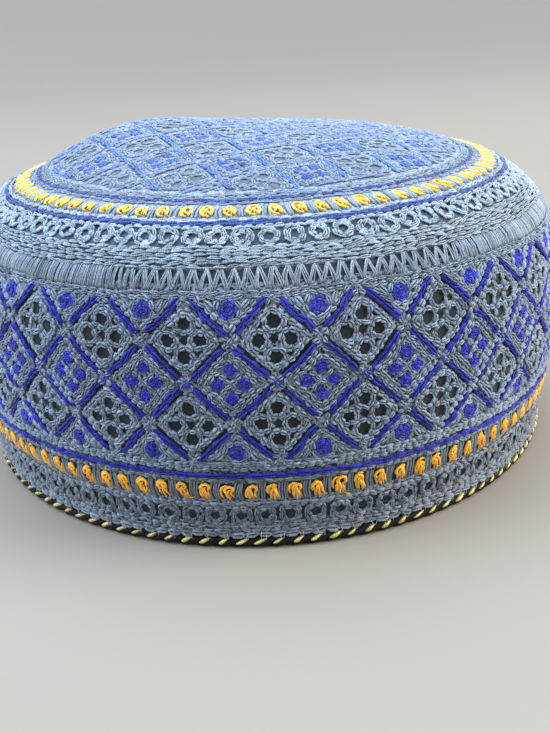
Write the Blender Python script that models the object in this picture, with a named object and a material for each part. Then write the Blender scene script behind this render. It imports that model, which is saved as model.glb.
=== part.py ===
# An embroidered prayer cap: domed crown, bulged side band and a cord round its lower edge.
# It stands on its edge, opening down, with its origin on the floor at the centre.
import math

import bmesh
import bpy
from mathutils import Vector

# Driving dimensions in metres
BELLY_RADIUS = 0.0927      # outer radius at the widest part of the side band
SEAM_HEIGHT = 0.0717       # floor to the seam between side band and crown
SHOULDER_RISE = 0.0102     # seam to the ring where the crown's dome starts
DOME_RISE = 0.0086         # that ring to the middle of an even dome
BAND_WALL = 0.0026         # side band's cloth with the embroidery on it
CROWN_WALL = 0.0024        # crown's cloth with the embroidery on it
CORD_DIAMETER = 0.0032     # edge cord with its gold thread
SEAM_GAP = 0.0003          # free space between sewn neighbours

# A soft swell in the crown, as found on the real cap, left of the middle
SWELL_RISE = 0.0079
SWELL_X = -0.0500
SWELL_Y = 0.0055
SWELL_SPREAD = 0.0370

# How finely the round forms are divided
SEGMENTS = 72
CORD_SIDES = 8

# Side band's outer sections from edge to seam.
# up: share of the height from edge to seam; out: share of BELLY_RADIUS
BAND_SECTIONS = (
    {"name": "edge", "up": 0.000, "out": 0.971},
    {"name": "rings", "up": 0.085, "out": 0.974},
    {"name": "loops", "up": 0.200, "out": 0.982},
    {"name": "line", "up": 0.275, "out": 0.990},
    {"name": "low_dots", "up": 0.366, "out": 0.996},
    {"name": "belly", "up": 0.560, "out": 1.000},
    {"name": "high_cells", "up": 0.740, "out": 0.992},
    {"name": "high_dots", "up": 0.878, "out": 0.971},
    {"name": "tuck", "up": 0.950, "out": 0.947},
    {"name": "seam", "up": 1.000, "out": 0.921},
)

# Crown's outer sections from the seam to where the dome starts.
# up: share of SHOULDER_RISE; out: share of BELLY_RADIUS
SHOULDER_SECTIONS = (
    {"name": "seam", "up": 0.00, "out": 0.921},
    {"name": "chains", "up": 0.28, "out": 0.891},
    {"name": "rings", "up": 0.55, "out": 0.854},
    {"name": "line", "up": 0.77, "out": 0.816},
    {"name": "loops", "up": 0.92, "out": 0.777},
    {"name": "dome", "up": 1.00, "out": 0.740},
)

# Radii of the dome's own rings, as shares of the radius where it starts
DOME_RINGS = (0.90, 0.78, 0.65, 0.52, 0.39, 0.26, 0.13)
DOME_POWER = 3.0           # how flat the dome stays before it falls away

# Colours of the finishes, linear red, green and blue
THREAD_BLUE_GREY = (0.155, 0.205, 0.260)
CORD_BLACK = (0.014, 0.014, 0.018)


def clear_scene():
    for thing in list(bpy.data.objects):
        bpy.data.objects.remove(thing, do_unlink=True)


def finish_material(name, colour, roughness):
    material = bpy.data.materials.new(name)
    material.use_nodes = True
    shader = material.node_tree.nodes["Principled BSDF"]
    shader.inputs["Base Color"].default_value = (*colour, 1.0)
    shader.inputs["Roughness"].default_value = roughness
    shader.inputs["Metallic"].default_value = 0.0
    return material


def band_outline():
    # Outer side of the side band, edge to seam, as (radius, height)
    low = CORD_DIAMETER + SEAM_GAP
    rise = SEAM_HEIGHT - low
    return [Vector((row["out"] * BELLY_RADIUS, low + row["up"] * rise)) for row in BAND_SECTIONS]


def shoulder_outline():
    # Outer side of the crown, seam to the start of the dome, as (radius, height)
    return [
        Vector((row["out"] * BELLY_RADIUS, SEAM_HEIGHT + row["up"] * SHOULDER_RISE))
        for row in SHOULDER_SECTIONS
    ]


def dome_outline():
    # Outer side of the even dome, without the swell, in to the axis
    start = shoulder_outline()[-1]
    points = []
    for share in (*DOME_RINGS, 0.0):
        height = start.y + DOME_RISE * (1.0 - share ** DOME_POWER)
        points.append(Vector((start.x * share, height)))
    return points


def seam_direction():
    # Along the cloth where crown and side band meet
    below = band_outline()[-2]
    above = shoulder_outline()[1]
    return (above - below).normalized()


def inward(points, wall, first=None, last=None):
    # The same line one wall further in. Each end may be given its own direction.
    moved = []
    for index, point in enumerate(points):
        before = points[max(index - 1, 0)]
        after = points[min(index + 1, len(points) - 1)]
        along = (after - before).normalized()
        if index == 0 and first is not None:
            along = first
        if index == len(points) - 1 and last is not None:
            along = last
        moved.append(point + Vector((-along.y, along.x)) * wall)
    return moved


def swell_at(x, y):
    # Height of the crown's swell, which dies out where the dome starts
    start = shoulder_outline()[-1].x
    share = min(math.hypot(x, y) / start, 1.0)
    away = math.hypot(x - SWELL_X, y - SWELL_Y) / SWELL_SPREAD
    return SWELL_RISE * math.exp(-away * away) * (1.0 - share * share)


def spun_mesh(name, outline, closed):
    # Turn an outline of (radius, height) points all the way round the upright axis
    mesh = bpy.data.meshes.new(name)
    work = bmesh.new()
    corners = [work.verts.new((point.x, 0.0, point.y)) for point in outline]
    edges = [work.edges.new(pair) for pair in zip(corners, corners[1:])]
    if closed:
        edges.append(work.edges.new((corners[-1], corners[0])))
    bmesh.ops.spin(
        work,
        geom=corners + edges,
        cent=(0.0, 0.0, 0.0),
        axis=(0.0, 0.0, 1.0),
        angle=2.0 * math.pi,
        steps=SEGMENTS,
        use_merge=True,
    )
    bmesh.ops.remove_doubles(work, verts=work.verts, dist=0.00001)
    bmesh.ops.recalc_face_normals(work, faces=work.faces)
    work.to_mesh(mesh)
    work.free()
    return mesh


def place(name, mesh, material):
    mesh.materials.append(material)
    mesh.shade_smooth()
    mesh.set_sharp_from_angle(angle=math.radians(40.0))
    thing = bpy.data.objects.new(name, mesh)
    bpy.context.scene.collection.objects.link(thing)
    return thing


def make_side_band(material):
    outer = band_outline()
    along = seam_direction()
    outer[-1] = outer[-1] - along * (SEAM_GAP / 2.0)
    inner = inward(outer, BAND_WALL, first=Vector((0.0, 1.0)), last=along)
    outline = outer + inner[::-1]
    return place("side_band", spun_mesh("side_band", outline, closed=True), material)


def make_crown(material):
    outer = shoulder_outline() + dome_outline()
    along = seam_direction()
    outer[0] = outer[0] + along * (SEAM_GAP / 2.0)
    inner = inward(outer, CROWN_WALL, first=along, last=Vector((-1.0, 0.0)))
    inner[-1].x = 0.0
    outline = inner[::-1] + outer
    mesh = spun_mesh("crown", outline, closed=False)
    for vertex in mesh.vertices:
        vertex.co.z += swell_at(vertex.co.x, vertex.co.y)
    return place("crown", mesh, material)


def make_edge_cord(material):
    # A ring of many-sided section that rests on a flat, under the middle of the wall
    centre = band_outline()[0].x - BAND_WALL / 2.0
    reach = CORD_DIAMETER / 2.0 / math.cos(math.pi / CORD_SIDES)
    outline = []
    for side in range(CORD_SIDES):
        angle = 2.0 * math.pi * (side + 0.5) / CORD_SIDES
        outline.append(
            Vector((centre + reach * math.sin(angle), CORD_DIAMETER / 2.0 - reach * math.cos(angle)))
        )
    return place("edge_cord", spun_mesh("edge_cord", outline, closed=True), material)


def main():
    clear_scene()
    thread = finish_material("embroidery_thread", THREAD_BLUE_GREY, 0.75)
    band_thread = finish_material("band_embroidery_thread", THREAD_BLUE_GREY, 0.80)
    cord = finish_material("black_cord", CORD_BLACK, 0.60)
    make_crown(thread)
    make_side_band(band_thread)
    make_edge_cord(cord)


main()
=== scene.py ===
# An embroidered prayer cap, standing on its edge: chain stitch over dark cloth, a zigzag seam, a corded edge.
# Lengths in the dictionaries are millimetres unless they say otherwise. A finished mesh is in metres.
import math

import bmesh
import bpy
import numpy as np
from mathutils import Matrix, Vector


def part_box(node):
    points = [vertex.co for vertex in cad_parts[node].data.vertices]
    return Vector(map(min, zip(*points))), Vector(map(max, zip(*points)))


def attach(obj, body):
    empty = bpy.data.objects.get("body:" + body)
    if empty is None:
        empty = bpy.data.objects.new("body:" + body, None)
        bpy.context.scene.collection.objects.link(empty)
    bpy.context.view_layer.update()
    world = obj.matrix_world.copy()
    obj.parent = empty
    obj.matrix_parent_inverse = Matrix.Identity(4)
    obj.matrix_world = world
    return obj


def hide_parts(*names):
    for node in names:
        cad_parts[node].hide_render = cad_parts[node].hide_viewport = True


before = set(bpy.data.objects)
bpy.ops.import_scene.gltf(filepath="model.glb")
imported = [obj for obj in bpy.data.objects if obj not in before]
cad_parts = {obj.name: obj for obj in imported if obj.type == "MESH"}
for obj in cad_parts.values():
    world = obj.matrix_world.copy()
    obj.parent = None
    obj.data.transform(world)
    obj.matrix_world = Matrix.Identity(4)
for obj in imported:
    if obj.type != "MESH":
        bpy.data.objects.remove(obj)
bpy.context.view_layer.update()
print("frame loaded")


# Form of the cap, as the CAD has it
capForm = {
    "bellyRadius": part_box("side_band")[1].x * 1000,
    "bandStart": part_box("side_band")[0].z * 1000,
    "cordDiameter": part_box("edge_cord")[1].z * 1000,
    "seamHeight": 71.7,
    "shoulderRise": 10.2,
    "domeRise": 8.6,
    "domePower": 3,
    "bandWall": 2.6,
    "crownWall": 2.4,
    "seamGap": 0.3,
    "swellRise": 7.9,
    "swellX": -50.0,
    "swellY": 5.5,
    "swellSpread": 37.0,
    "threadDepth": 0.85,   # the ground cloth lies this far inside the CAD's face, and the thread fills it
}
# Rows are (share of the rise, share of the belly's radius), from the edge up
bandSections = (
    (0.000, 0.971), (0.085, 0.974), (0.200, 0.982), (0.275, 0.990), (0.366, 0.996),
    (0.560, 1.000), (0.740, 0.992), (0.878, 0.971), (0.950, 0.947), (1.000, 0.921),
)
shoulderSections = ((0.28, 0.891), (0.55, 0.854), (0.77, 0.816), (0.92, 0.777), (1.00, 0.740))
domeRings = (0.90, 0.78, 0.65, 0.52, 0.39, 0.26, 0.13, 0.00)   # shares of the radius where the dome starts


def asPoints(*parts):
    return np.stack(parts, axis=-1)


def smoothLine(knots, values, spots):
    slopes = np.gradient(values, knots)
    cell = np.clip(np.searchsorted(knots, spots) - 1, 0, len(knots) - 2)
    wide = knots[cell + 1] - knots[cell]
    t = (spots - knots[cell]) / wide
    low = (1 + 2 * t) * (1 - t) ** 2 * values[cell] + t * (1 - t) ** 2 * wide * slopes[cell]
    high = t * t * (3 - 2 * t) * values[cell + 1] + t * t * (t - 1) * wide * slopes[cell + 1]
    return low + high


def capProfile():
    form = capForm
    rise = form["seamHeight"] - form["bandStart"]
    rows = [(out * form["bellyRadius"], form["bandStart"] + up * rise) for up, out in bandSections]
    for up, out in shoulderSections:
        rows.append((out * form["bellyRadius"], form["seamHeight"] + up * form["shoulderRise"]))
    domeRadius, domeHeight = rows[-1]
    for share in domeRings:
        rows.append((domeRadius * share, domeHeight + form["domeRise"] * (1 - share ** form["domePower"])))
    rows = np.array(rows)
    knots = np.concatenate([[0.0], np.cumsum(np.hypot(*np.diff(rows, axis=0).T))]) + form["bandStart"]
    along = np.arange(knots[0], knots[-1], 0.1)
    radius = smoothLine(knots, rows[:, 0], along)
    height = smoothLine(knots, rows[:, 1], along)
    leanOut = np.gradient(height, along)
    leanUp = -np.gradient(radius, along)
    size = np.hypot(leanOut, leanUp)
    return {"along": along, "radius": radius, "height": height, "leanOut": leanOut / size,
            "leanUp": leanUp / size, "seam": knots[len(bandSections) - 1], "domeRadius": domeRadius}


profile = capProfile()


def onProfile(key, along):
    return np.interp(along, profile["along"], profile[key])


def swellAt(x, y):
    share = np.minimum(np.hypot(x, y) / profile["domeRadius"], 1.0)
    away = np.hypot(x - capForm["swellX"], y - capForm["swellY"]) / capForm["swellSpread"]
    return capForm["swellRise"] * np.exp(-away ** 2) * (1 - share ** 2)


# The dome is worked flatter than the rest: its cloth lies higher, and its stitches are lower
domeRelief = {"start": 88.0, "full": 95.0, "lift": 0.38, "share": 0.55}


def groundDepth(along):
    flat = np.interp(along, (domeRelief["start"], domeRelief["full"]), (0.0, 1.0))
    return capForm["threadDepth"] - domeRelief["lift"] * flat


def onCap(angle, along, height):
    # a point of the cap: angle from the front, arc length from the floor, height over the ground cloth
    share = np.interp(along, (domeRelief["start"], domeRelief["full"]), (1.0, domeRelief["share"]))
    deep = height * share - groundDepth(along)
    radius = onProfile("radius", along) + onProfile("leanOut", along) * deep
    level = onProfile("height", along) + onProfile("leanUp", along) * deep
    level = level + np.minimum(along - profile["along"][0], 0.0)      # the hem may hang over the cord
    x = radius * np.sin(angle)
    y = -radius * np.cos(angle)
    return asPoints(x, y, level + swellAt(x, y))


# Slow wander of rows that are guided by hand: (waves round the cap, waves per mm along, size, phase)
handWander = ((5, 0.031, 0.16, 0.4), (13, 0.083, 0.12, 2.1), (29, 0.137, 0.09, 4.4))


def wallChart(rowRadius):
    # stitches drawn on the unrolled wall: millimetres round the cap at rowRadius, and arc length
    def place(across, along, height):
        angle = across / rowRadius
        for waves, up, size, phase in handWander:
            wave = waves * angle + up * along * 6 + phase
            along = along + size * np.sin(wave)
            angle = angle + size * np.cos(wave + 1.3) / rowRadius
        return onCap(angle, along, height)
    return place


def crownChart(x, y, height):
    for waves, up, size, phase in handWander:
        wave = x * up * 3 + y * up * 2 + phase
        x = x + size * np.sin(wave)
        y = y + size * np.cos(wave * 1.3)
    top = profile["along"] > profile["seam"]
    along = np.interp(np.hypot(x, y), profile["radius"][top][::-1], profile["along"][top][::-1])
    return onCap(np.arctan2(x, -y), along, height)


# Threads, swept by bmesh into small patterns that are then laid down many times
def readPattern(work, alongLayer, aroundLayer):
    work.verts.index_update()
    points = np.array([vertex.co for vertex in work.verts])
    corners = []
    sizes = []
    uv = []
    for face in work.faces:
        turns = [vertex[aroundLayer] for vertex in face.verts]
        wraps = max(turns) - min(turns) > 0.5
        sizes.append(len(turns))
        for vertex, turn in zip(face.verts, turns):
            corners.append(vertex.index)
            uv.append((vertex[alongLayer], turn + 1 if wraps and turn < 0.5 else turn))
    work.free()
    return {"points": points, "corners": np.array(corners), "sizes": np.array(sizes), "uv": np.array(uv)}


def sweepThread(line, radii, sides, ups=None, closed=False):
    work = bmesh.new()
    alongLayer = work.verts.layers.float.new("along")
    aroundLayer = work.verts.layers.float.new("around")
    line = [Vector(point) for point in line]
    last = len(line) - 1
    travelled = 0.0
    for index, point in enumerate(line):
        before = line[index - 1] if closed or index > 0 else point
        after = line[(index + 1) % len(line)] if closed or index < last else point
        tangent = (after - before).normalized()
        up = Vector(ups[index] if ups else (0, 0, 1))
        side = up.cross(tangent).normalized()
        wanted = Matrix((side, tangent.cross(side), tangent)).transposed().to_4x4()
        wanted = Matrix.Translation(point) @ wanted @ Matrix.Scale(radii[index], 4)
        if index == 0:
            ring = bmesh.ops.create_circle(work, segments=sides, radius=1.0)["verts"]
            for number, vertex in enumerate(ring):
                vertex[aroundLayer] = number / sides
            bmesh.ops.transform(work, matrix=wanted, verts=ring)
            edges = list(work.edges)
            firstEdges = edges
        else:
            travelled += (point - line[index - 1]).length
            grown = bmesh.ops.extrude_edge_only(work, edges=edges)["geom"]
            ring = [part for part in grown if isinstance(part, bmesh.types.BMVert)]
            known = set(ring)
            edges = [part for part in grown if isinstance(part, bmesh.types.BMEdge)]
            edges = [part for part in edges if known.issuperset(part.verts)]
            bmesh.ops.transform(work, matrix=wanted @ placed.inverted(), verts=ring)
        for vertex in ring:
            vertex[alongLayer] = travelled
        placed = wanted
    if closed:
        bmesh.ops.bridge_loops(work, edges=firstEdges + edges)
    else:
        bmesh.ops.holes_fill(work, edges=work.edges, sides=sides)
    bmesh.ops.recalc_face_normals(work, faces=work.faces)
    return readPattern(work, alongLayer, aroundLayer)


def tapered(radius, count, share):
    return [radius * share] + [radius] * (count - 2) + [radius * share]


# A hoop holds the work in hand: its chance, its chart, which stitches stay, and the stitches laid so far
def newHoop(seed, chart=None, keep=None):
    return {"dice": np.random.default_rng(seed), "chart": chart, "keep": keep, **noStitches()}


def noStitches():
    return {"points": [], "corners": [], "sizes": [], "uv": [], "shade": [], "count": 0}


def wobble(hoop, *size):
    # how far the hand strays, in shares of its usual spread
    return np.clip(hoop["dice"].normal(size=size), -2, 2)


def addCopies(hoop, pattern, points, shade):
    copies, count = points.shape[:2]
    first = hoop["count"] + count * np.arange(copies)
    hoop["points"].append(points.reshape(-1, 3))
    hoop["corners"].append((pattern["corners"][None, :] + first[:, None]).ravel())
    hoop["sizes"].append(np.tile(pattern["sizes"], copies))
    hoop["uv"].append(np.tile(pattern["uv"], (copies, 1)))
    hoop["shade"].append(np.repeat(shade, count))
    hoop["count"] += copies * count


def makePiece(hoop, name, material):
    mesh = bpy.data.meshes.new(name)
    points = np.concatenate(hoop["points"]) / 1000
    corners = np.concatenate(hoop["corners"])
    sizes = np.concatenate(hoop["sizes"])
    starts = np.concatenate([[0], np.cumsum(sizes)[:-1]])
    mesh.vertices.add(len(points))
    mesh.vertices.foreach_set("co", points.astype(np.float32).ravel())
    mesh.loops.add(len(corners))
    mesh.loops.foreach_set("vertex_index", corners.astype(np.int32))
    mesh.polygons.add(len(sizes))
    mesh.polygons.foreach_set("loop_start", starts.astype(np.int32))
    mesh.update(calc_edges=True)
    threadUv = mesh.uv_layers.new(name="threadUv")
    threadUv.data.foreach_set("uv", np.concatenate(hoop["uv"]).astype(np.float32).ravel())
    shade = mesh.attributes.new("shade", "FLOAT", "POINT")
    shade.data.foreach_set("value", np.concatenate(hoop["shade"]).astype(np.float32))
    hoop.update(noStitches())
    print(name, "triangles", int((sizes - 2).sum()))
    return finishPiece(mesh, name, material)


def addObject(name, data, material=None):
    if material:
        data.shade_smooth()
        data.materials.append(material)
    added = bpy.data.objects.new(name, data)
    bpy.context.scene.collection.objects.link(added)
    return added


def finishPiece(mesh, name, material):
    piece = addObject(name, mesh, material)
    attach(piece, "root")
    return piece


# A chain stitch: a loop of thread whose far end the next loop holds down
chainStitch = {
    "pitch": 2.4,
    "width": 1.2,
    "threadRadius": 0.36,
    "sides": 3,
    "taper": 0.7,
    # half of the loop, from where it leaves the cloth to its far end: along, across, up
    "halfLoop": ((-0.14, 0.04, 0.02), (0.70, 0.32, 0.50), (1.80, 0.37, 0.55), (2.60, 0.00, 0.16)),
    "turn": 0.15,          # how far one stitch leans from the row, radians
    "shift": 0.09,
    "tilt": 0.22,          # how much higher one leg of the loop may be than the other
    "widthSpread": 0.13,
    "heightSpread": 0.18,
    "shadeSpread": 0.13,
    "growSpread": 0.04,    # how much one ring or frame is larger or smaller than the next
    "reach": 0.35,         # corners are rounded over this much thread
}


def chainPattern():
    half = chainStitch["halfLoop"]
    line = list(half) + [(x, -y, z) for x, y, z in half[-2::-1]]
    radii = tapered(chainStitch["threadRadius"], len(line), chainStitch["taper"])
    return sweepThread(line, radii, chainStitch["sides"])


chainLink = chainPattern()


def alongLine(line, closed):
    # a drawn line as a function from distance to point, carried on straight past its open ends
    line = np.asarray(line, float)
    if closed:
        line = np.vstack([line, line[:1]])
    travel = np.concatenate([[0.0], np.cumsum(np.hypot(*np.diff(line, axis=0).T))])
    total = travel[-1]
    if not closed:
        reach = 4.0
        early = line[0] - (line[1] - line[0]) / travel[1] * reach
        late = line[-1] + (line[-1] - line[-2]) / (travel[-1] - travel[-2]) * reach
        line = np.vstack([early, line, late])
        travel = np.concatenate([[-reach], travel, [total + reach]])

    def pointAt(spot):
        spot = spot % total if closed else spot
        return np.interp(spot, travel, line[:, 0]), np.interp(spot, travel, line[:, 1])
    return pointAt, total


def layChain(hoop, line, pitch, width, closed=False, centres=((0.0, 0.0),), lift=0.0, overlap=1.0):
    # chain stitches one after another along a drawn line, once round each centre
    stitch = chainStitch
    pointAt, total = alongLine(line, closed)
    count = max(1, round(total / pitch))
    step = total / count
    centres = np.asarray(centres, float).reshape(-1, 2)
    each = (len(centres), 1, 1)
    start = hoop["dice"].random(each) if closed else np.zeros(each)
    wander = wobble(hoop, len(centres), count, 6)
    link = chainLink["points"]
    across = link[:, 1] * width / stitch["width"] * (1 + stitch["widthSpread"] * wander[..., 0:1])
    across = across + stitch["shift"] * wander[..., 1:2]
    across = across + stitch["turn"] * wander[..., 2:3] * (link[:, 0] - stitch["pitch"] / 2)
    up = link[:, 2] * (1 + stitch["heightSpread"] * wander[..., 3:4]) + lift
    up = up + stitch["tilt"] * wander[..., 5:6] * link[:, 1]
    spot = (start + np.arange(count)[None, :, None] + link[:, 0] * overlap / stitch["pitch"]) * step
    x, y = pointAt(spot)
    grow = 1 + stitch["growSpread"] * wobble(hoop, *each)
    if closed:
        x = x * grow
        y = y * grow
    aheadX, aheadY = pointAt(spot + stitch["reach"])
    behindX, behindY = pointAt(spot - stitch["reach"])
    aimX = aheadX - behindX
    aimY = aheadY - behindY
    size = np.hypot(aimX, aimY)
    x = x - aimY / size * across + centres[:, 0][:, None, None]
    y = y + aimX / size * across + centres[:, 1][:, None, None]
    shade = 1 + stitch["shadeSpread"] * wander[..., 4]
    keep = hoop["keep"]
    chosen = keep(x.mean(axis=2), y.mean(axis=2)) if keep else np.ones(shade.shape, bool)
    if chosen.any():
        addCopies(hoop, chainLink, hoop["chart"](x, y, up)[chosen], shade[chosen])


# A short straight stitch, bowed over the cloth from end to end
strandShape = {"shares": (0.0, 0.12, 0.5, 0.88, 1.0), "heights": (0.0, 0.32, 0.5, 0.32, 0.0), "taper": 0.6,
               "sides": 3, "shift": 0.05, "heightSpread": 0.15}


def strandPattern(radius):
    # along runs from 0 to 10 so that its ends keep their shape when it is stretched
    line = [(10 * share, 0.0, height) for share, height in zip(strandShape["shares"], strandShape["heights"])]
    return sweepThread(line, tapered(radius, len(line), strandShape["taper"]), strandShape["sides"])


def layStrands(hoop, pattern, starts, ends, curve, lift=0.0, shadeSpread=0.1):
    starts = np.asarray(starts, float)[:, None, :]
    ends = np.asarray(ends, float)[:, None, :]
    aim = ends - starts
    size = np.hypot(aim[..., 0], aim[..., 1])
    wander = wobble(hoop, len(starts), 3)
    share = pattern["points"][:, 0] / 10
    side = pattern["points"][:, 1] + curve * 4 * share * (1 - share) + strandShape["shift"] * wander[:, 0:1]
    x = starts[..., 0] + aim[..., 0] * share - aim[..., 1] / size * side
    y = starts[..., 1] + aim[..., 1] * share + aim[..., 0] / size * side
    up = pattern["points"][:, 2] * (1 + strandShape["heightSpread"] * wander[:, 1:2]) + lift
    addCopies(hoop, pattern, hoop["chart"](x, y, up), 1 + shadeSpread * wander[:, 2])


freeSpread = {"size": 0.05, "shift": 0.12, "shade": 0.07}


def layPattern(hoop, pattern, centres, lean, spread):
    # free shapes, each turned a little and set down at its centre
    wander = wobble(hoop, len(centres), 4)
    angle = lean + spread * wander[:, 0:1]
    grow = 1 + freeSpread["size"] * wander[:, 1:2]
    px, py = pattern["points"][:, 0] * grow, pattern["points"][:, 1] * grow
    x = centres[:, 0:1] + px * np.cos(angle) - py * np.sin(angle) + freeSpread["shift"] * wander[:, 2:3]
    y = centres[:, 1:2] + px * np.sin(angle) + py * np.cos(angle)
    up = np.broadcast_to(pattern["points"][:, 2], x.shape)
    addCopies(hoop, pattern, hoop["chart"](x, y, up), 1 + freeSpread["shade"] * wander[:, 3])


# Lines that the stitches follow
def circle(radius):
    angle = np.linspace(0, 2 * np.pi, 24, endpoint=False)
    return asPoints(radius * np.cos(angle), radius * np.sin(angle))


def diamond(reach, power):
    # a square on its corner, bulged where power is over 1
    angle = np.linspace(0, 2 * np.pi, 96, endpoint=False)
    across = np.cos(angle)
    up = np.sin(angle)
    size = reach / (np.abs(across) ** power + np.abs(up) ** power) ** (1 / power)
    return asPoints(size * across, size * up)


def turned(line, degrees):
    angle = math.radians(degrees)
    line = np.asarray(line, float)
    x = line[:, 0] * math.cos(angle) - line[:, 1] * math.sin(angle)
    y = line[:, 0] * math.sin(angle) + line[:, 1] * math.cos(angle)
    return asPoints(x, y)


# Layout of the band: rows of cells between two borders
bandPlan = {
    "periods": 28,
    "period": 20.74,
    "ringCellX": 2.1,
    "ringRows": (56.9, 36.1),
    "clusterX": -8.27,
    "clusterRow": 46.5,
    # half cells under the seam and over the lower border: (middle, its dot, which way they point)
    "halfRows": ((67.3, 64.0, -1), (25.8, 28.9, 1)),
    "borderNodes": (66.5, 26.6),
    "bigDot": (1.62, (1.7, 1.2)),      # radius, and (pitch, width) of its chain
    "dotMiddle": (0.5, (1.5, 1.1)),
    "topEdge": 66.9,
    "bottomEdge": 26.4,
}
bandRadius = bandPlan["periods"] * bandPlan["period"] / (2 * math.pi)
# Layout of the crown's lattice, seen from above
crownPlan = {"turn": -19.7, "half": 10.3, "originX": -5.5, "originY": -45.2, "limit": 61.2, "reach": 14,
             "boldBar": (1.5, 0.8), "thinBar": (0.65, 0.0)}     # width, and how much longer each end is


# Finishes
def linearColour(hexText):
    parts = [int(hexText[i:i + 2], 16) / 255 for i in (1, 3, 5)]
    return (*(p / 12.92 if p <= 0.04045 else ((p + 0.055) / 1.055) ** 2.4 for p in parts), 1.0)


def addNode(tree, kind, inputs=None, **settings):
    # each input is a value or another node's output
    node = tree.nodes.new("ShaderNode" + kind)
    for key, value in settings.items():
        setattr(node, key, value)
    for key, value in (inputs or {}).items():
        if isinstance(value, bpy.types.NodeSocket):
            tree.links.new(value, node.inputs[key])
        else:
            node.inputs[key].default_value = value
    return node.outputs


def setInputs(node, values):
    for key, value in values.items():
        node.inputs[key].default_value = value


def newMaterial(name, settings):
    material = bpy.data.materials.new(name)
    material.use_nodes = True
    setInputs(material.node_tree.nodes["Principled BSDF"], settings)
    return material


def finishMaterial(material, colour, light, relief, strength, depth):
    # the colour made lighter or darker from place to place, over a fine relief
    tree = material.node_tree
    shader = tree.nodes["Principled BSDF"]
    tinted = addNode(tree, "VectorMath", {0: colour, 3: light}, operation="SCALE")
    bump = addNode(tree, "Bump", {"Strength": strength, "Distance": depth, "Height": relief})
    tree.links.new(tinted[0], shader.inputs["Base Color"])
    tree.links.new(bump[0], shader.inputs["Normal"])
    return material


threadFinish = {
    "plyPitch": 0.9,        # two-ply thread: the lay shows every 0.9 mm
    # ranges of a MapRange node by its sockets: from low, from high, to low, to high
    "plyRange": {1: -1.0, 2: 0.2, 3: 0.45, 4: 1.0},
    "grains": (
        # dye and soil wander over about 6 mm, loose fibres and dust over about 0.4 mm
        ({"Scale": 160.0, "Detail": 2.0}, {3: 0.86, 4: 1.14}),
        ({"Scale": 2600.0, "Detail": 1.0}, {1: 0.3, 2: 0.7, 3: 0.72, 4: 1.25}),
    ),
    "relief": (0.5, 0.00006),     # strength, and depth in metres
    "settings": {"Roughness": 0.82, "Specular IOR Level": 0.25, "Sheen Weight": 0.4, "Sheen Roughness": 0.5},
}


def threadMaterial(name, hexColour, hexShade, settings=None):
    # plied cotton thread: matt, with a soft nap, its lay showing as fine slanted grooves
    plan = threadFinish
    material = newMaterial(name, {**plan["settings"], **(settings or {})})
    tree = material.node_tree
    place = addNode(tree, "TexCoord")["Object"]
    thread = addNode(tree, "UVMap", uv_map="threadUv")["UV"]
    parts = addNode(tree, "SeparateXYZ", {0: thread})
    lay = addNode(tree, "Math", {0: parts[0], 1: plan["plyPitch"]}, operation="DIVIDE")[0]
    turn = addNode(tree, "Math", {0: lay, 1: parts[1]}, operation="ADD")[0]
    wave = addNode(tree, "Math", {0: turn, 1: 4 * math.pi}, operation="MULTIPLY")[0]
    groove = addNode(tree, "Math", {0: wave}, operation="SINE")[0]
    # painted shade: the grooves between the plies are drawn in the darker shade colour
    plied = addNode(tree, "MapRange", {0: groove, **plan["plyRange"]})[0]
    tones = {0: plied, 6: linearColour(hexShade), 7: linearColour(hexColour)}
    colour = addNode(tree, "Mix", tones, data_type="RGBA")[2]
    light = addNode(tree, "Attribute", attribute_name="shade")["Fac"]
    for noise, levels in plan["grains"]:
        grain = addNode(tree, "TexNoise", {0: place, **noise})["Fac"]
        level = addNode(tree, "MapRange", {0: grain, **levels})[0]
        light = addNode(tree, "Math", {0: light, 1: level}, operation="MULTIPLY")[0]
    return finishMaterial(material, colour, light, groove, *plan["relief"])


clothFinish = {
    # dark cloth in a ring cell, from its middle: (spot, reach) of round holes where it shows, the rest along
    # across + up; beside the bars it is partly painted shade
    "holes": (((0.0, 4.05), 1.75), ((3.85, 0.0), 1.75), ((3.45, 3.35), 0.8)),
    "star": 1.35,
    "barShadeStrip": (10.6, 1.5),
    "barReach": 7.4,
    "weave": 0.55,          # two threads of the weave
    "slub": 1100.0,
    "fleck": 1500.0,
    "slubShare": 0.12,
    "weaveShadeRange": {1: 0.3, 2: 0.7, 3: 0.55, 4: 1.3},
    "coverRange": {1: 0.40, 2: 0.54},
    "relief": (0.8, 0.0002),
    "settings": {"Roughness": 0.9, "Specular IOR Level": 0.2, "Sheen Weight": 0.15},
}


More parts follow.
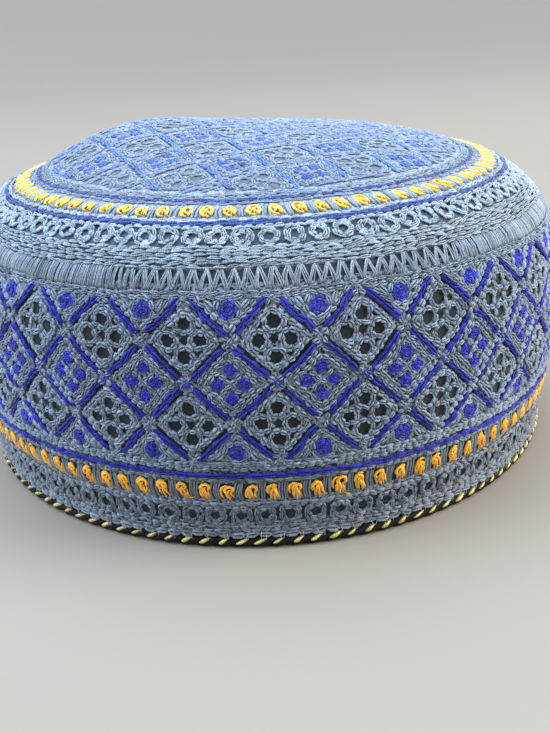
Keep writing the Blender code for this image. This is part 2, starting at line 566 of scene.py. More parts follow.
def clothMaterial(name, plan):
    # woven cotton under the thread: dark where it shows and in painted shade beside the bars, covered by
    # short fill stitches elsewhere
    finish = clothFinish
    material = newMaterial(name, finish["settings"])
    tree = material.node_tree
    weave = addNode(tree, "UVMap", uv_map="clothUv")["UV"]
    parts = addNode(tree, "SeparateXYZ", {0: weave})
    row = parts[1]
    if plan["byRadius"]:
        row = addNode(tree, "VectorMath", {0: weave}, operation="LENGTH")["Value"]
    turn = (0.0, 0.0, math.radians(plan["turn"]))
    cell = {0: weave, "Location": (*plan["ringCell"], 0.0), "Rotation": turn}
    lattice = addNode(tree, "Mapping", cell, vector_type="TEXTURE")[0]
    across, up = [addNode(tree, "Math", {0: spot, 1: plan["half"]}, operation="PINGPONG")[0]
                  for spot in addNode(tree, "SeparateXYZ", {0: lattice})[:2]]
    corner = addNode(tree, "CombineXYZ", {0: across, 1: up})[0]
    total = addNode(tree, "Math", {0: across, 1: up}, operation="ADD")[0]
    # the cloth is dark where it shows inside the rings and between them, and in a zone on both sides of each
    # bar that is partly showing cloth and partly painted shade of the bar's groove
    darkZones = [addNode(tree, "Math", {0: total, 1: finish["star"]}, operation="LESS_THAN")[0]]
    for spot, reach in finish["holes"]:
        away = addNode(tree, "VectorMath", {0: corner, 1: (*spot, 0.0)}, operation="DISTANCE")["Value"]
        darkZones.append(addNode(tree, "Math", {0: away, 1: reach}, operation="LESS_THAN")[0])
    middle, reach = finish["barShadeStrip"]
    beside = addNode(tree, "Math", {0: total, 1: middle, 2: reach}, operation="COMPARE")[0]
    apart = addNode(tree, "Math", {0: across, 1: up}, operation="SUBTRACT")[0]
    onBar = addNode(tree, "Math", {0: apart, 1: 0.0, 2: finish["barReach"]}, operation="COMPARE")[0]
    darkZones.append(addNode(tree, "Math", {0: beside, 1: onBar}, operation="MULTIPLY")[0])
    rows = [addNode(tree, "Math", {0: row, 1: middle, 2: reach}, operation="COMPARE")[0]
            for middle, reach in (plan["latticeRows"], *plan["darkRows"])]
    within = rows.pop(0)
    for zones in (darkZones, rows):
        while len(zones) > 1:
            pair = {0: zones.pop(0), 1: zones.pop(0)}
            zones.insert(0, addNode(tree, "Math", pair, operation="MAXIMUM")[0])
    dark = addNode(tree, "Math", {0: darkZones[0], 1: within}, operation="MULTIPLY")[0]
    waves = []
    for part in parts[:2]:
        turns = addNode(tree, "Math", {0: part, 1: 2 * math.pi / finish["weave"]}, operation="MULTIPLY")[0]
        waves.append(addNode(tree, "Math", {0: turns}, operation="SINE")[0])
    crossing = addNode(tree, "Math", {0: waves[0], 1: waves[1]}, operation="MULTIPLY")[0]
    place = addNode(tree, "TexCoord")["Object"]
    slub = addNode(tree, "TexNoise", {0: place, "Scale": finish["slub"], "Detail": 2.0})["Fac"]
    woven = {0: crossing, 1: finish["slubShare"], 2: slub}
    relief = addNode(tree, "Math", woven, operation="MULTIPLY_ADD")[0]
    # the cloth's tone follows its relief: uneven yarn, with painted shade where weave and slubs lie low and
    # painted light where they stand up
    level = addNode(tree, "MapRange", {0: relief, **finish["weaveShadeRange"]})[0]
    # short fill stitches, with the cloth showing between them as flecks
    fleck = addNode(tree, "TexNoise", {0: place, "Scale": finish["fleck"], "Detail": 1.0})["Fac"]
    covered = addNode(tree, "MapRange", {0: fleck, **finish["coverRange"]})[0]
    colour = linearColour(plan["fleck"])
    for share, key in ((covered, "filled"), (dark, "dark"), (rows[0], "rowDark")):
        tones = {0: share, 6: colour, 7: linearColour(plan[key])}
        colour = addNode(tree, "Mix", tones, data_type="RGBA")[2]
    return finishMaterial(material, colour, level, relief, *finish["relief"])


greyCotton = threadMaterial("blueGreyCottonThread", "#91A4B8", "#5B6B7F")
# a darker copy of the blue-grey thread for the band's lowest rows: painted shade, as less light reaches the
# bottom of the band
lowerBandShadedCotton = threadMaterial("lowerBandShadedBlueGreyCottonThread", "#84919F", "#525D69")
# a lighter copy of the blue-grey thread for the shoulder: painted light, for the brighter light that falls
# there
shoulderLitCotton = threadMaterial("shoulderLitBlueGreyCottonThread", "#AEC1CF", "#7C8EA0")
# a darker copy of the blue-grey thread for the crown, with lighter grooves: painted shade under the strong
# top light, softening the crown's contrast
crownCotton = threadMaterial("crownShadedBlueGreyCottonThread", "#8A9FB5", "#5F7086")
barCotton = threadMaterial("royalBlueCottonThread", "#2C36AE", "#181E78", {"Sheen Weight": 0.15})
# a pale, greyish blue for the crown's thin bars
violetCotton = threadMaterial("paleGreyBlueCottonThread", "#7C8EC4", "#56669E")
dotCotton = threadMaterial("brightBlueCottonThread", "#2A3CD2", "#162290")
# lighter, greener copies of the band's blues for the crown: painted light, for the bluish light from above
crownBarCotton = threadMaterial("crownLitRoyalBlueCottonThread", "#5480CA", "#3A5CA2")
crownDotCotton = threadMaterial("crownLitBrightBlueCottonThread", "#4A6EC2", "#30509C")
yellowCotton = threadMaterial("yellowCottonThread", "#FFBE26", "#D8860C")
# a lighter copy of the navy for the crown's lines: painted light, for the light from above
crownLineCotton = threadMaterial("crownLitNavyCottonThread", "#36549E", "#233A7A")
# a paler copy of the yellow for the crown: painted light, for the bright light from above
crownYellowCotton = threadMaterial("crownLitYellowCottonThread", "#FFD048", "#DC961A")
blackCotton = threadMaterial("blackCottonCord", "#101013", "#08080A", {"Sheen Weight": 0.0})
goldThread = threadMaterial("goldMetallicThread", "#DDCF80", "#8E7A34", {"Metallic": 0.6, "Roughness": 0.36})
seamThread = threadMaterial("greyPolyesterSeamThread", "#9FAEBD", "#6E7D8D")
paleThread = threadMaterial("palePolyesterThread", "#C9CDD2", "#A8ACB4")
print("finishes made")


# Ground cloth, the shells that the thread is worked on
shellSteps = 120
# (middle, reach) of the rows that hold the cells, and of those where the dark cloth shows; the band's thin
# row at 23.4, over the blue line, is painted shadow
bandCloth = {"name": "bandCottonCloth", "slot": "band_embroidery", "rings": 30, "wall": capForm["bandWall"],
             "dark": "#262C34", "rowDark": "#2E3742", "filled": "#95A3B0", "fleck": "#343C48",
             "byRadius": False, "turn": 0.0, "half": bandPlan["period"] / 2,
             "ringCell": (bandPlan["ringCellX"], bandPlan["ringRows"][0]),
             "latticeRows": (46.6, 20.0), "darkRows": ((71.4, 1.8), (23.4, 0.25), (17.1, 2.4), (9.7, 2.0))}
crownTurn = math.radians(crownPlan["turn"])
crownRingCell = (crownPlan["originX"] + crownPlan["half"] * (math.cos(crownTurn) - math.sin(crownTurn)),
                 crownPlan["originY"] + crownPlan["half"] * (math.cos(crownTurn) + math.sin(crownTurn)))
# the crown's cloth is the band's cloth in lighter tones: painted light and haze from the strong light on top
crownCloth = {"name": "crownCottonCloth", "slot": "crown_embroidery", "rings": 34,
              "wall": capForm["crownWall"], "dark": "#5A6A78", "rowDark": "#465462",
              "filled": "#95A8BC", "fleck": "#687A8E",
              "byRadius": True, "turn": crownPlan["turn"], "half": crownPlan["half"],
              "ringCell": crownRingCell, "latticeRows": (0.0, crownPlan["limit"]), "darkRows": ((79.4, 4.8),)}


def sunkLine(start, end, count, depth=None):
    # points of the profile in metres, that far inside the CAD's face, or where the ground cloth lies
    along = np.linspace(start, end, count)
    depth = groundDepth(along) if depth is None else depth
    radius = onProfile("radius", along) - onProfile("leanOut", along) * depth
    height = onProfile("height", along) - onProfile("leanUp", along) * depth
    return list(zip(radius / 1000, height / 1000))


def spinOutline(outline, steps, closed=False):
    work = bmesh.new()
    corners = [work.verts.new((radius, 0.0, height)) for radius, height in outline]
    edges = [work.edges.new(pair) for pair in zip(corners, corners[1:])]
    if closed:
        edges.append(work.edges.new((corners[-1], corners[0])))
    bmesh.ops.spin(work, geom=corners + edges, cent=(0, 0, 0), axis=(0, 0, 1), angle=2 * math.pi,
                   steps=steps, use_merge=True)
    bmesh.ops.remove_doubles(work, verts=work.verts, dist=0.00001)
    return work


def finishMesh(work, name):
    mesh = bpy.data.meshes.new(name)
    work.to_mesh(mesh)
    work.free()
    return mesh


def clothShell(name, outline, closed, planUv):
    # a shell of cloth with the crown's swell in it, and cloth coordinates in millimetres
    work = spinOutline(outline, shellSteps, closed)
    for vertex in work.verts:
        vertex.co.z += swellAt(vertex.co.x * 1000, vertex.co.y * 1000) / 1000
    bmesh.ops.recalc_face_normals(work, faces=work.faces)
    clothUv = work.loops.layers.uv.new("clothUv")
    for face in work.faces:
        middle = face.calc_center_median()
        facing = math.atan2(middle.x, -middle.y)
        for loop in face.loops:
            spot = loop.vert.co * 1000
            angle = math.atan2(spot.x, -spot.y)
            angle += 2 * math.pi * round((facing - angle) / (2 * math.pi))
            along = np.interp(spot.z, profile["height"], profile["along"])
            loop[clothUv].uv = (spot.x, spot.y) if planUv else (angle * bandRadius, along)
    return finishMesh(work, name)


def makeGround(name, start, end, plan):
    outer = sunkLine(start, end, plan["rings"])
    inner = sunkLine(start, end, plan["rings"], plan["wall"])
    domed = plan["byRadius"]
    if domed:
        outer[-1] = (0.0, outer[-1][1])
        inner[-1] = (0.0, inner[-1][1])
    outline = inner[::-1] + outer if domed else outer + inner[::-1]
    mesh = clothShell(name, outline, not domed, domed)
    return finishPiece(mesh, name, clothMaterial(plan["name"], plan))


halfGap = capForm["seamGap"] / 2
ground = makeGround("bandGround", profile["along"][0], profile["seam"] - halfGap, bandCloth)
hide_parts("side_band")
ground = makeGround("crownGround", profile["seam"] + halfGap, profile["along"][-1], crownCloth)
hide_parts("crown")
print("ground cloth made")


# Cells of the lattice, the same on the band and on the crown
cellPlan = {
    # a chain is (pitch, width)
    "half": 10.37,               # middle of a cell to its corner
    "frame": (7.4, 1.13),        # reach and power of the ring cell's frame
    "frameChain": (1.8, 1.4),
    "ringSpots": ((0.0, 4.05), (3.85, 0.0), (0.0, -4.05), (-3.85, 0.0)),
    "ringRadius": 2.2,
    "ringChain": (1.75, 1.2),
    "ringStray": 0.12,
    "clusterFrames": ((7.95, 1.05), (6.25, 1.05)),
    "clusterChain": (1.8, 1.15),
    "dotSpots": ((0.0, 3.6), (3.05, 0.0), (0.0, -3.4), (-3.05, 0.0)),
    "dotRadius": 1.06,
    "dotChain": (1.25, 1.2),
    "dotMiddle": (0.5, (1.1, 1.0), 0.08),
    "dotStray": 0.1,
    # two short chains that cross: (reach of an arm, pitch)
    "cross": (3.3, 1.6),
    "node": (2.2, 1.5),
    "crossWidth": 1.15,
    "barLength": 10.4,
    "barShift": 0.3,             # bars lie this far towards the cluster's side of the lattice line
    "barPitch": 2.6,
    "barWidth": 1.38,
    "barLift": 0.1,
    "barOverlap": 1.22,
}


def layRingCells(hoop, centres, turn):
    plan = cellPlan
    layChain(hoop, turned(diamond(*plan["frame"]), turn), *plan["frameChain"], True, centres)
    for spot in turned(plan["ringSpots"], turn):
        strayed = centres + spot + plan["ringStray"] * wobble(hoop, len(centres), 2)
        layChain(hoop, circle(plan["ringRadius"]), *plan["ringChain"], True, strayed)


def layCross(hoop, centres, turn, plan):
    arm, pitch = plan
    for angle in (45, 135):
        line = turned([(-arm, 0.0), (arm, 0.0)], turn + angle)
        layChain(hoop, line, pitch, cellPlan["crossWidth"], False, centres)


def layClusterCells(hoop, centres, turn):
    for frameShape in cellPlan["clusterFrames"]:
        layChain(hoop, turned(diamond(*frameShape), turn), *cellPlan["clusterChain"], True, centres)
    layCross(hoop, centres, turn, cellPlan["cross"])


def layClusterDots(hoop, centres, turn):
    # four small spirals of blue, each of one turn and a stitch in the middle
    plan = cellPlan
    half, chain, lift = plan["dotMiddle"]
    for spot in turned(plan["dotSpots"], turn):
        strayed = centres + spot + plan["dotStray"] * wobble(hoop, len(centres), 2)
        layChain(hoop, circle(plan["dotRadius"]), *plan["dotChain"], True, strayed)
        layChain(hoop, [(-half, 0.0), (half, 0.0)], *chain, False, strayed, lift)


def layBars(hoop, centres, turn, sides, width, extra=0.0):
    # bars on the chosen sides of cluster cells, given by the direction from the cell's middle
    plan = cellPlan
    away = plan["half"] / math.sqrt(2) - plan["barShift"]
    half = plan["barLength"] / 2 + extra
    for side in sides:
        line = turned([(away, -half), (away, half)], turn + side)
        layChain(hoop, line, plan["barPitch"], width, False, centres, plan["barLift"], plan["barOverlap"])


# Side band: rows of cells between two borders
bandChart = wallChart(bandRadius)


def bandRow(x, along):
    spots = x + bandPlan["period"] * np.arange(bandPlan["periods"])
    return asPoints(spots, np.full(len(spots), along))


def insideBand(x, y):
    return (y > bandPlan["bottomEdge"]) & (y < bandPlan["topEdge"])


def makeBandRingCells():
    hoop = newHoop(11, bandChart)
    for row in bandPlan["ringRows"]:
        layRingCells(hoop, bandRow(bandPlan["ringCellX"], row), 0)
    makePiece(hoop, "bandRingCells", greyCotton)


# Half cells: two sides of a frame with a ring for the dot and a short chain in each corner
halfCell = {"sides": (1.8, 1.2), "ringRadius": 2.85, "ringChain": (2.25, 1.15),
            "corner": ((3.2, 3.2), (5.2, 1.2)), "cornerChain": (2.0, 1.2)}


def makeBandClusterCells():
    hoop = newHoop(12, bandChart)
    x = bandPlan["clusterX"]
    layClusterCells(hoop, bandRow(x, bandPlan["clusterRow"]), 0)
    plan = halfCell
    reach = cellPlan["clusterFrames"][0][0]
    hoop["keep"] = insideBand
    for row, dotRow, up in bandPlan["halfRows"]:
        centres = bandRow(x, row)
        layChain(hoop, [(-reach, 0.0), (0.0, up * reach), (reach, 0.0)], *plan["sides"], False, centres)
        layChain(hoop, circle(plan["ringRadius"]), *plan["ringChain"], True, bandRow(x, dotRow))
        for side in (-1, 1):
            line = [(side * across, up * along) for across, along in plan["corner"]]
            layChain(hoop, line, *plan["cornerChain"], False, centres)
    hoop["keep"] = None
    for row in bandPlan["ringRows"]:
        layCross(hoop, bandRow(x, row), 0, cellPlan["node"])
    top, bottom = bandPlan["borderNodes"]
    for row in (top, bandPlan["clusterRow"], bottom):
        layCross(hoop, bandRow(bandPlan["ringCellX"], row), 0, cellPlan["node"])
    makePiece(hoop, "bandClusterCells", greyCotton)


def makeBandBars():
    hoop = newHoop(13, bandChart)
    (top, _, _), (bottom, _, _) = bandPlan["halfRows"]
    for row, sides in ((bandPlan["clusterRow"], (45, 135, 225, 315)), (top, (225, 315)), (bottom, (45, 135))):
        layBars(hoop, bandRow(bandPlan["clusterX"], row), 0, sides, cellPlan["barWidth"])
    makePiece(hoop, "bandBars", barCotton)


def makeBandDots():
    hoop = newHoop(14, bandChart)
    layClusterDots(hoop, bandRow(bandPlan["clusterX"], bandPlan["clusterRow"]), 0)
    (radius, chain), (small, middle) = bandPlan["bigDot"], bandPlan["dotMiddle"]
    for _, row, _ in bandPlan["halfRows"]:
        centres = bandRow(bandPlan["clusterX"], row)
        layChain(hoop, circle(radius), *chain, True, centres)
        layChain(hoop, circle(small), *middle, True, centres, 0.08)
    layChain(hoop, circle(small), *middle, True, bandRow(bandPlan["ringCellX"], bandPlan["clusterRow"]), 0.3)
    makePiece(hoop, "bandDots", dotCotton)


makeBandRingCells()
makeBandClusterCells()
makeBandBars()
makeBandDots()
print("band cells made")


# Plain rows that run all round: (arc length, pitch, width, lift)
bandRows = {
    "bandBorderRows": {"thread": greyCotton, "slot": "band_embroidery", "rows": (
        (67.8, 2.3, 0.7), (66.8, 2.1, 0.9), (25.9, 2.1, 0.75), (25.0, 1.8, 0.9), (24.1, 2.3, 0.7))},
    "bandHemRows": {"thread": lowerBandShadedCotton, "slot": "band_embroidery", "rows": (
        (20.9, 2.3, 0.8), (13.2, 2.2, 0.95), (6.4, 2.1, 0.7), (5.4, 2.4, 0.8), (3.9, 3.4, 1.75))},
    "bandBlueLine": {"thread": barCotton, "slot": "blue_thread", "rows": ((22.4, 3.0, 1.3, 0.1),)},
}
crownRows = {
    "shoulderRows": {"thread": shoulderLitCotton, "slot": "crown_embroidery", "rows": (
        (73.9, 3.0, 0.72), (74.9, 3.1, 0.72), (75.9, 2.9, 0.72), (76.9, 3.1, 0.72), (77.9, 3.0, 0.72),
        (78.8, 2.9, 0.72), (84.9, 2.4, 1.0), (87.6, 2.4, 1.0))},
    "crownRimRows": {"thread": crownCotton, "slot": "crown_embroidery", "rows": (
        (95.4, 2.6, 1.0), (97.8, 2.6, 1.1), (99.0, 2.6, 1.15))},
    "crownBlueLines": {"thread": crownLineCotton, "slot": "blue_thread", "rows": (
        (86.2, 3.0, 1.35, 0.05), (96.5, 3.0, 0.9, 0.05))},
}


def layRow(hoop, along, pitch, width, lift=0.0):
    radius = onProfile("radius", along)
    hoop["chart"] = wallChart(radius)
    start = pitch * hoop["dice"].random()
    line = [(start, along), (start + 2 * math.pi * radius, along)]
    layChain(hoop, line, pitch, width, lift=lift, overlap=1.2 if lift else 1.0)


def makeRows(hoop, pieces):
    for name, plan in pieces.items():
        for row in plan["rows"]:
            layRow(hoop, *row)
        makePiece(hoop, name, plan["thread"])


def rowSpots(plan, radius):
    turns = plan["x"] / bandRadius + 2 * math.pi * np.arange(plan["count"]) / plan["count"]
    return asPoints(turns * radius, np.full(plan["count"], plan["along"]))


# Rows of ring stitches, with thin slits between.
# A chain is (half width, half height, squareness, thread's width, pitch).
ringRowPlan = {
    "band": {"count": 92, "along": 9.7, "x": -2.1,
             "chains": ((1.7, 1.8, 2.0, 0.8, 1.7), (2.4, 2.45, 3.2, 0.85, 2.0))},
    "crown": {"count": 86, "along": 82.0, "x": -4.3,
              "chains": ((1.55, 1.6, 2.0, 0.8, 1.7), (2.25, 2.25, 2.1, 0.85, 2.0))},
    "stray": 0.12,
}


def layRingRow(hoop, plan):
    radius = onProfile("radius", plan["along"])
    hoop["chart"] = wallChart(radius)
    centres = rowSpots(plan, radius)
    centres = centres + ringRowPlan["stray"] * wobble(hoop, *centres.shape)
    for across, up, power, width, pitch in plan["chains"]:
        layChain(hoop, diamond(1.0, power) * (across, up), pitch, width, True, centres)


# Yellow loops with grey stitches between them. A strand is (thickness, points across, along, up).
yellowRow = {
    # on the band a knot at the top, with legs that fan out below it
    "band": {
        "seed": 17, "name": "bandYellowRow", "thread": yellowCotton, "slot": "band_embroidery",
        "betweenName": "bandYellowSpacers", "betweenThread": lowerBandShadedCotton,
        "count": 105, "along": 14.2, "x": -0.2, "lean": 0.02,
        "strands": (
            (0.44, ((0.1, 2.8, 0.4), (-0.75, 2.95, 0.65), (-1.0, 3.8, 0.7), (-0.6, 4.6, 0.7),
                    (0.1, 4.9, 0.65), (0.8, 4.6, 0.7), (0.95, 3.8, 0.7), (0.65, 3.1, 0.7))),
            (0.38, ((-1.1, 2.3, 0.3), (-1.25, 3.4, 0.5), (-0.9, 4.6, 0.55), (0.0, 5.2, 0.5),
                    (0.8, 4.9, 0.4))),
            (0.36, ((-0.5, 4.5, 0.75), (0.05, 3.7, 1.0), (0.35, 2.5, 0.85), (1.1, 0.5, 0.25))),
            (0.34, ((0.35, 4.6, 0.7), (-0.3, 3.7, 0.95), (-0.5, 2.4, 0.8), (-0.2, 0.6, 0.25))),
            (0.30, ((-1.05, 3.0, 0.5), (-0.8, 1.8, 0.7), (-0.65, 0.9, 0.3))),
            (0.30, ((0.0, 2.9, 0.6), (0.3, 1.6, 0.75), (0.5, 0.2, 0.25))),
            (0.32, ((0.95, 3.6, 0.6), (1.05, 2.2, 0.8), (1.75, 0.6, 0.25))),
        ),
        "tailShare": 0.35,
        "between": (0.35, 0.46, 0.57, 0.68), "betweenRadius": 0.32, "betweenSpread": 0.14},
    # on the crown a rounder knot of crossed strands
    "crown": {
        "seed": 20, "name": "crownYellowRow", "thread": crownYellowCotton, "slot": "crown_embroidery",
        "betweenName": "crownYellowSpacers", "betweenThread": greyCotton,
        "count": 82, "along": 88.7, "x": -1.0, "lean": 0.25,
        "strands": (
            (0.42, ((0.2, 0.6, 0.4), (-0.8, 0.9, 0.6), (-1.3, 2.2, 0.7), (-1.1, 3.9, 0.7),
                    (-0.2, 4.9, 0.65), (0.8, 4.7, 0.7), (1.3, 3.4, 0.7), (1.2, 1.9, 0.7), (0.8, 0.8, 0.6))),
            (0.36, ((-0.8, 1.6, 0.6), (0.0, 2.7, 1.05), (0.7, 4.0, 0.7))),
            (0.36, ((-0.8, 3.8, 0.7), (-0.1, 2.9, 0.95), (0.7, 1.8, 0.8), (1.3, 0.7, 0.3))),
            (0.3, ((-0.1, 4.4, 0.7), (0.35, 3.0, 0.9), (0.1, 1.2, 0.5))),
        ),
        "tailShare": 0.0,
        "between": (0.38, 0.51, 0.63), "betweenRadius": 0.48, "betweenSpread": 0.22},
    # the thread's end, left lying to the right of some loops
    "tail": (0.2, ((0.8, 0.7, 0.3), (1.7, 0.2, 0.6), (2.7, -0.2, 0.3))),
    "middle": 3,           # half the height of a loop
    "taper": 0.6,
    "sides": 4,
    "spread": 0.07,
    "tailSpread": 0.3,
    "betweenSpan": (0.1, 5.7),
    "betweenCurve": 0.45,
}


def makeYellowRow(plan):
    shared = yellowRow
    radius = onProfile("radius", plan["along"] + shared["middle"])
    hoop = newHoop(plan["seed"], wallChart(radius))
    centres = rowSpots(plan, radius)
    for thick, line in plan["strands"]:
        pattern = sweepThread(line, tapered(thick, len(line), shared["taper"]), shared["sides"])
        layPattern(hoop, pattern, centres, plan["lean"], shared["spread"])
    thick, line = shared["tail"]
    tail = sweepThread(line, [thick] * len(line), strandShape["sides"])
    some = centres[hoop["dice"].random(len(centres)) < plan["tailShare"]]
    if len(some):
        layPattern(hoop, tail, some, plan["lean"], shared["tailSpread"])
    makePiece(hoop, plan["name"], plan["thread"])
    pitch = 2 * math.pi * radius / plan["count"]
    strand = strandPattern(plan["betweenRadius"])
    low, high = shared["betweenSpan"]
    for share in plan["between"]:
        wander = plan["betweenSpread"] * wobble(hoop, 2, len(centres), 2)
        layStrands(hoop, strand, centres + (share * pitch, low) + wander[0],
                   centres + (share * pitch, high) + wander[1], shared["betweenCurve"])
    makePiece(hoop, plan["betweenName"], plan["betweenThread"])


def makeBandBorders():
    makeRows(newHoop(15), bandRows)
    hoop = newHoop(16)
    layRingRow(hoop, ringRowPlan["band"])
    makePiece(hoop, "bandRingRow", lowerBandShadedCotton)
    makeYellowRow(yellowRow["band"])


makeBandBorders()
print("band borders made")


# Zigzag seam between band and crown. On both sides of the cap it closes up to a fringe of leaning strands.
# A fringe is (first turn, last turn, lean of its strands), turns in radians from the front.
zigzagPlan = {"count": 176, "low": 68.5, "high": 73.6, "radius": 0.155,
              "strands": (-0.56, -0.28, 0.0, 0.28, 0.56), "jitter": 0.2, "lift": 0.25, "shadeSpread": 0.2,
              "fringes": ((-2.4, -0.27, 0.5), (0.5, 2.4, -0.5)), "fade": 0.2}


def makeSeamZigzag():
    plan = zigzagPlan
    radius = onProfile("radius", plan["high"])
    hoop = newHoop(18, wallChart(radius))
    pitch = 2 * math.pi * radius / plan["count"]
    peaks = pitch * (np.arange(plan["count"]) - plan["count"] // 2)
    turns = peaks / radius
    closed = np.zeros(len(turns))
    lean = np.zeros(len(turns))
    for start, end, slant in plan["fringes"]:
        share = np.clip((turns - start) / plan["fade"], 0, 1) * np.clip((end - turns) / plan["fade"], 0, 1)
        closed += share
        lean += share * slant
    strand = strandPattern(plan["radius"])
    for offset in plan["strands"]:
        jitter = plan["jitter"] * wobble(hoop, plan["count"], 4)
        for side in (-1, 1):
            foot = peaks + side * pitch / 2 * (1 - closed / 2) + offset * (1 + 0.1 * closed)
            foot = foot + jitter[:, 2] * (1 - 0.5 * closed)
            peak = peaks + 0.5 * offset + jitter[:, 0]
            peak = peak + closed * (foot - peak) + lean
            top = asPoints(peak, plan["high"] + jitter[:, 1])
            bottom = asPoints(foot, plan["low"] + 0.5 * jitter[:, 3])
            layStrands(hoop, strand, bottom, top, 0.0, plan["lift"], plan["shadeSpread"])
    makePiece(hoop, "seamZigzag", seamThread)


def makeShoulder():
    hoop = newHoop(19)
    makeRows(hoop, crownRows)
    layRingRow(hoop, ringRowPlan["crown"])
    makePiece(hoop, "crownRingRow", shoulderLitCotton)
    makeYellowRow(yellowRow["crown"])


makeSeamZigzag()
makeShoulder()
print("seam and shoulder made")


def crownSpots(wanted):
    # middles of the "clusters" and "rings" cells, or the "nodes" where their corners meet
    half = crownPlan["half"]
    spots = []
    for i in range(-crownPlan["reach"], crownPlan["reach"] + 1):
        for j in range(-crownPlan["reach"], crownPlan["reach"] + 1):
            kind = "nodes" if (i + j) % 2 else ("clusters" if j % 2 == 0 else "rings")
            x = crownPlan["originX"] + half * (i * math.cos(crownTurn) - j * math.sin(crownTurn))
            y = crownPlan["originY"] + half * (i * math.sin(crownTurn) + j * math.cos(crownTurn))
            if kind == wanted and math.hypot(x, y) < crownPlan["limit"] + half:
                spots.append((x, y))
    return np.array(spots)


def insideCrown(x, y):
    return np.hypot(x, y) < crownPlan["limit"]


def makeCrownCells():
    hoop = newHoop(21, crownChart, insideCrown)
    turn = crownPlan["turn"]
    clusters = crownSpots("clusters")
    layRingCells(hoop, crownSpots("rings"), turn)
    makePiece(hoop, "crownRingCells", crownCotton)
    layClusterCells(hoop, clusters, turn)
    layCross(hoop, crownSpots("nodes"), turn, cellPlan["node"])
    makePiece(hoop, "crownClusterCells", crownCotton)
    layBars(hoop, clusters, turn, (45, 225), *crownPlan["boldBar"])
    makePiece(hoop, "crownBars", crownBarCotton)
    layBars(hoop, clusters, turn, (135, 315), *crownPlan["thinBar"])
    makePiece(hoop, "crownThinBars", violetCotton)
    layClusterDots(hoop, clusters, turn)
    makePiece(hoop, "crownDots", crownDotCotton)


makeCrownCells()
print("crown cells made")


# Edge cord: three black plies with a gold thread laid in each groove
cordPlan = {
    "radius": 88.7,
    "turns": 40,
    "stepsPerTurn": 13,
    "plies": 3,
    "plyRadius": 0.85,
    "plyReach": 0.75,
    "plySides": 7,
    "groovePhase": 30.0,          # degrees round the cord of a groove, where x is fleckX
    "fleckX": 0.8,
    # a gold stitch in each groove: (along the edge, degrees round the cord, over its middle, thickness)
    "fleck": ((-1.5, -4, 1.2, 0.14), (-0.8, 9, 1.3, 0.46), (0.0, 24, 1.35, 0.58), (0.8, 40, 1.35, 0.44),
              (1.6, 55, 1.3, 0.12)),
    "fleckSides": 6,
    "fleckSpread": {"shift": 0.15, "length": 0.1, "size": 0.12, "shade": 0.12},
    # a hair of pale thread that holds each one to the band
    "hairs": (((1.2, 2.6), (0.3, 5.0)), ((1.6, 2.6), (1.9, 4.4))),
    "hairRadius": 0.07,
    "hairSpread": 0.35,
    "hairCurve": 0.1,
    "hairLift": 0.75,
}
cordHeight = capForm["cordDiameter"] / 2


def cordPly(phase):
    reach = cordPlan["plyReach"]
    line = []
    ups = []
    steps = cordPlan["turns"] * cordPlan["stepsPerTurn"]
    for step in range(steps):
        angle = 2 * math.pi * step / steps
        wound = cordPlan["turns"] * angle + phase
        radius = cordPlan["radius"] + reach * math.cos(wound)
        out = (math.sin(angle), -math.cos(angle))
        line.append((radius * out[0], radius * out[1], cordHeight + reach * math.sin(wound)))
        ups.append((math.cos(wound) * out[0], math.cos(wound) * out[1], math.sin(wound)))
    return sweepThread(line, [cordPlan["plyRadius"]] * steps, cordPlan["plySides"], ups, closed=True)


def cordChart(across, turn, reach):
    # a point by millimetres along the edge, angle round the cord and distance from its middle line
    angle = across / cordPlan["radius"]
    radius = cordPlan["radius"] + reach * np.cos(turn)
    height = cordHeight + reach * np.sin(turn)
    return asPoints(radius * np.sin(angle), -radius * np.cos(angle), height)


def makeEdgeCord(hoop):
    fleckAngle = cordPlan["fleckX"] / bandRadius
    groovePhase = math.radians(cordPlan["groovePhase"]) - cordPlan["turns"] * fleckAngle
    for ply in range(cordPlan["plies"]):
        thread = cordPly(groovePhase + 2 * math.pi * (ply + 0.5) / cordPlan["plies"])
        addCopies(hoop, thread, thread["points"][None], np.ones(1))
    cord = makePiece(hoop, "edgeCord", blackCotton)
    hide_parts("edge_cord")


def makeGoldThread(hoop):
    plan = cordPlan
    count = plan["turns"] * plan["plies"]
    along, turn, reach, thick = np.array(plan["fleck"]).T
    pattern = sweepThread([(spot, 0.0, 0.0) for spot in along], thick, plan["fleckSides"])
    points = pattern["points"]
    spread = plan["fleckSpread"]
    wander = wobble(hoop, count, 4)
    fleckX = plan["fleckX"] / bandRadius * plan["radius"]
    centres = fleckX + 2 * math.pi * plan["radius"] / count * np.arange(count)
    centres = centres + spread["shift"] * wander[:, 0]
    across = centres[:, None] + points[:, 0] * (1 + spread["length"] * wander[:, 1:2])
    size = 1 + spread["size"] * wander[:, 2:3]
    distance = np.interp(points[:, 0], along, reach) + points[:, 2] * size
    turns = np.radians(np.interp(points[:, 0], along, turn)) + points[:, 1] * size / distance
    addCopies(hoop, pattern, cordChart(across, turns, distance), 1 + spread["shade"] * wander[:, 3])
    makePiece(hoop, "edgeGoldThread", goldThread)
    hair = strandPattern(plan["hairRadius"])
    spots = centres[:, None] * (bandRadius / plan["radius"], 0.0)
    for low, high in plan["hairs"]:
        stray = plan["hairSpread"] * wobble(hoop, 2, count, 2)
        starts = spots + low + stray[0] * (1, 0.2)
        layStrands(hoop, hair, starts, spots + high + stray[1], plan["hairCurve"], plan["hairLift"])
    makePiece(hoop, "edgePaleStitches", paleThread)


edgeHoop = newHoop(22, bandChart)
makeEdgeCord(edgeHoop)
makeGoldThread(edgeHoop)
print("edge cord made")


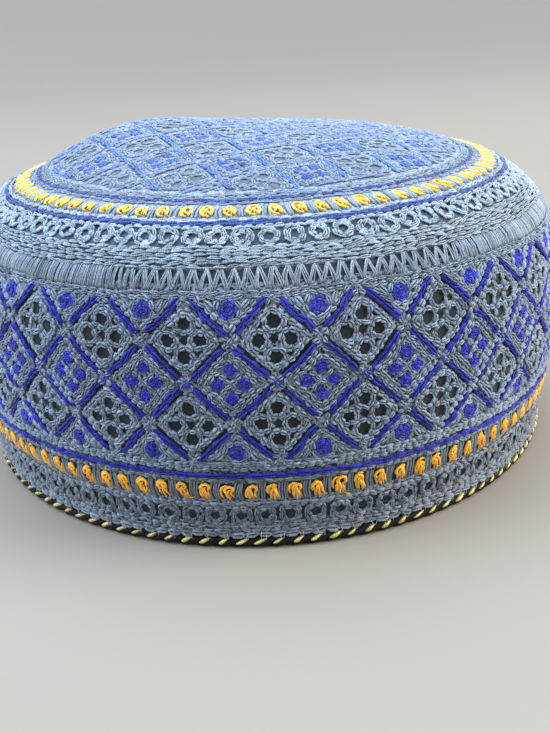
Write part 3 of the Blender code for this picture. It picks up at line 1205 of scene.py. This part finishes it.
# Stage: pale floor, soft light, and the camera where the photograph was taken from
stagePlan = {
    # half of the section of floor and backdrop, in metres: radius, height
    "section": ((0.0, 0.0), (1.5, 0.0), (1.9, 0.03), (2.3, 0.12), (2.65, 0.3), (2.85, 0.6), (2.9, 0.9)),
    "steps": 96,
    "floor": {"Roughness": 0.85, "Specular IOR Level": 0.2, "Base Color": linearColour("#948E83")},
    "sky": {"Color": linearColour("#DDE2E8"), "Strength": 0.6},
}


def makeFloor():
    work = spinOutline(stagePlan["section"], stagePlan["steps"])
    bmesh.ops.recalc_face_normals(work, faces=work.faces)
    floor = addObject("floor", finishMesh(work, "floor"), newMaterial("paleFloor", stagePlan["floor"]))


studioLights = {
    "top": {"place": (-0.5, 0.7, 4.5), "size": 5.2, "power": 342.0, "hex": "#D6E6FF"},
    "left": {"place": (-1.8, -0.2, 0.9), "size": 1.2, "power": 37.0, "hex": "#DEEAFF"},
    "right": {"place": (1.8, -0.2, 0.9), "size": 1.2, "power": 55.0, "hex": "#FFF6E8"},
    "front": {"place": (-0.25, -1.6, 1.9), "size": 1.4, "power": 15.0, "hex": "#E6F0FF"},
}


def makeLights():
    for name, plan in studioLights.items():
        data = bpy.data.lights.new(name, "AREA")
        data.shape = "DISK"
        data.size = plan["size"]
        data.energy = plan["power"]
        data.color = linearColour(plan["hex"])[:3]
        light = addObject(name, data)
        light.location = plan["place"]
        aim = Vector((0.0, 0.0, 0.05)) - light.location
        light.rotation_euler = aim.to_track_quat("-Z", "Y").to_euler()
    world = bpy.data.worlds.new("studio")
    world.use_nodes = True
    setInputs(world.node_tree.nodes["Background"], stagePlan["sky"])
    bpy.context.scene.world = world


photoCamera = {
    "place": (0.0, -260.72, 123.32),
    "yaw": 0.01114,              # radians, as the other two
    "pitch": 0.40758,
    "roll": -0.05041,
    "focalPixels": 819.3,
    "imageHeight": 733,
    "sensor": 36.0,
}


def makeCamera():
    plan = photoCamera
    data = bpy.data.cameras.new("photoCamera")
    data.sensor_width = plan["sensor"]
    data.lens = plan["focalPixels"] * plan["sensor"] / plan["imageHeight"]
    data.clip_start = 0.01
    camera = addObject("photoCamera", data)
    yaw, pitch, roll = plan["yaw"], plan["pitch"], plan["roll"]
    ahead = Vector((math.sin(yaw) * math.cos(pitch), math.cos(yaw) * math.cos(pitch), -math.sin(pitch)))
    right = Vector((math.cos(yaw), -math.sin(yaw), 0.0))
    up = right.cross(ahead)
    across = right * math.cos(roll) + up * math.sin(roll)
    upright = up * math.cos(roll) - right * math.sin(roll)
    turn = Matrix((across, upright, -ahead)).transposed().to_4x4()
    camera.matrix_world = Matrix.Translation(Vector(plan["place"]) / 1000) @ turn
    bpy.context.scene.camera = camera


makeFloor()
makeLights()
makeCamera()
bpy.context.scene.view_settings.view_transform = "Standard"
print("stage set")

bpy.context.view_layer.update()
